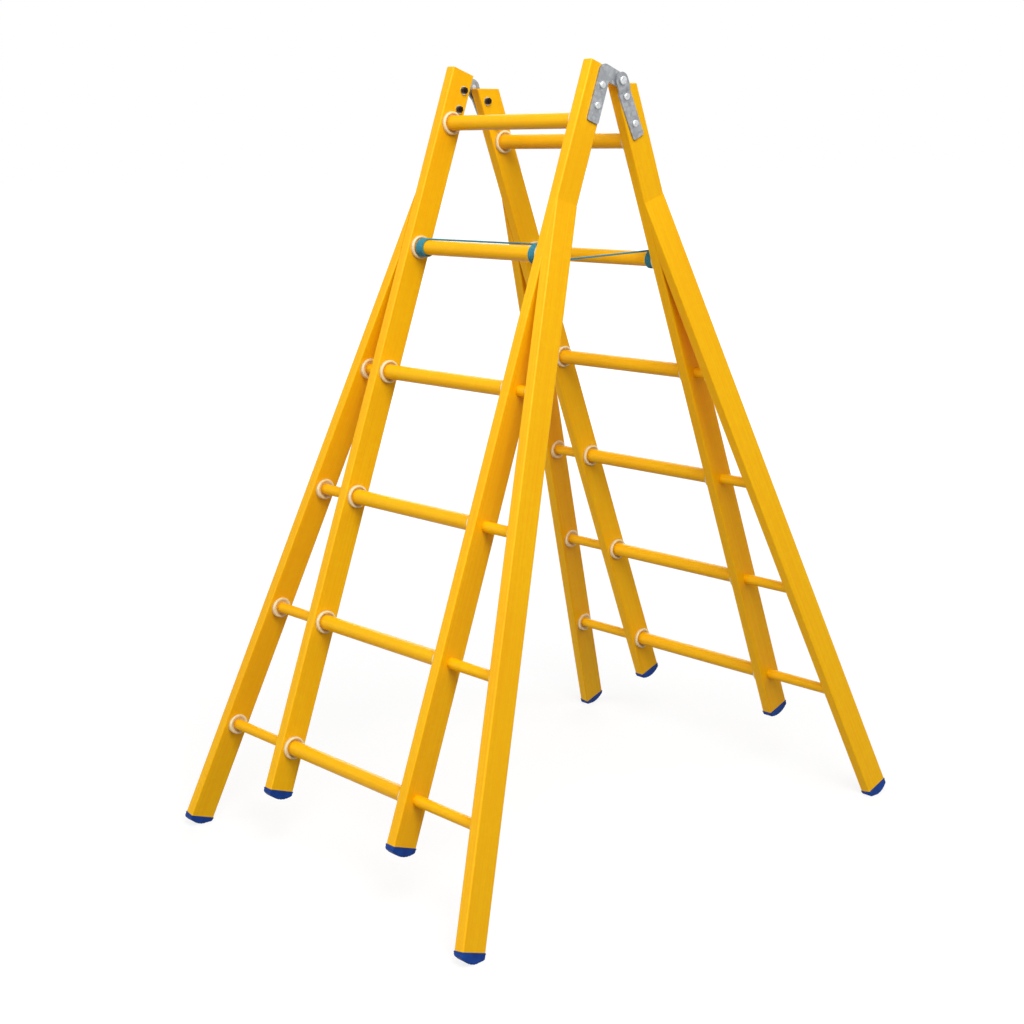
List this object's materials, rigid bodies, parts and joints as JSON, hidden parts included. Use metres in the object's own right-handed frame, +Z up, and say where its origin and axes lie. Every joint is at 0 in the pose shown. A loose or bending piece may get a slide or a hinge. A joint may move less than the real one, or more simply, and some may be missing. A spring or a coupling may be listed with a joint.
{
  "type": "a-frame ladder",
  "caption": "Folding double ladder in yellow glass-fibre box section, with round rungs, splayed outer legs on blue feet, hinge straps at the top and spreader cords.",
  "frame": {"origin": "on the floor, midway between the four feet, under the hinge line", "axes": "+X along the rungs to the right seen from the front half, +Y from the front half to the back half, +Z up"},
  "size_m": [0.9712, 1.3112, 1.6674],
  "materials": {
    "glass_fibre": "pigmented glass-fibre laminate, satin gloss",
    "rung_tube": "pigmented glass-fibre tube, satin gloss",
    "collar": "cream moulded plastic",
    "foot": "blue moulded rubber",
    "galvanised": "galvanised strip steel",
    "bright_steel": "bright zinc-plated steel",
    "dark_steel": "dark oiled steel",
    "cord": "braided teal cord"
  },
  "bodies": {
    "front_half": {"rung_front_1": "rung_tube", "rung_front_2": "rung_tube", "rung_front_3": "rung_tube", "rung_front_4": "rung_tube", "rung_front_5": "rung_tube", "rung_front_6": "rung_tube", "strap_bolts_front": "bright_steel", "strap_nuts_front": "dark_steel", "strap_washers_front": "bright_steel", "stile_front_left": "glass_fibre", "rung_collars_front_left": "collar", "leg_front_left": "glass_fibre", "stub_rungs_front_left": "rung_tube", "stub_collars_front_left": "collar", "stile_cap_front_left": "foot", "leg_foot_front_left": "foot", "cord_winding_front_left": "cord", "hinge_strap_front_left": "galvanised", "stile_front_right": "glass_fibre", "rung_collars_front_right": "collar", "leg_front_right": "glass_fibre", "stub_rungs_front_right": "rung_tube", "stub_collars_front_right": "collar", "stile_cap_front_right": "foot", "leg_foot_front_right": "foot", "cord_winding_front_right": "cord", "hinge_strap_front_right": "galvanised", "hinge_pin_left": "bright_steel", "cord_left": "cord", "hinge_pin_right": "bright_steel", "cord_right": "cord"},
    "back_half": {"rung_back_1": "rung_tube", "rung_back_2": "rung_tube", "rung_back_3": "rung_tube", "rung_back_4": "rung_tube", "rung_back_5": "rung_tube", "rung_back_6": "rung_tube", "strap_bolts_back": "bright_steel", "strap_nuts_back": "dark_steel", "strap_washers_back": "bright_steel", "stile_back_left": "glass_fibre", "rung_collars_back_left": "collar", "leg_back_left": "glass_fibre", "stub_rungs_back_left": "rung_tube", "stub_collars_back_left": "collar", "stile_cap_back_left": "foot", "leg_foot_back_left": "foot", "cord_winding_back_left": "cord", "hinge_strap_back_left": "galvanised", "stile_back_right": "glass_fibre", "rung_collars_back_right": "collar", "leg_back_right": "glass_fibre", "stub_rungs_back_right": "rung_tube", "stub_collars_back_right": "collar", "stile_cap_back_right": "foot", "leg_foot_back_right": "foot", "cord_winding_back_right": "cord", "hinge_strap_back_right": "galvanised"}
  },
  "joints": [
    {"name": "fold", "type": "hinge", "parent": "front_half", "child": "back_half", "pos_m": [0, 0.022, 1.62549], "axis": [-1, 0, 0], "range_deg": [0, 40], "deforming": ["cord_left", "cord_right"]}
  ]
}
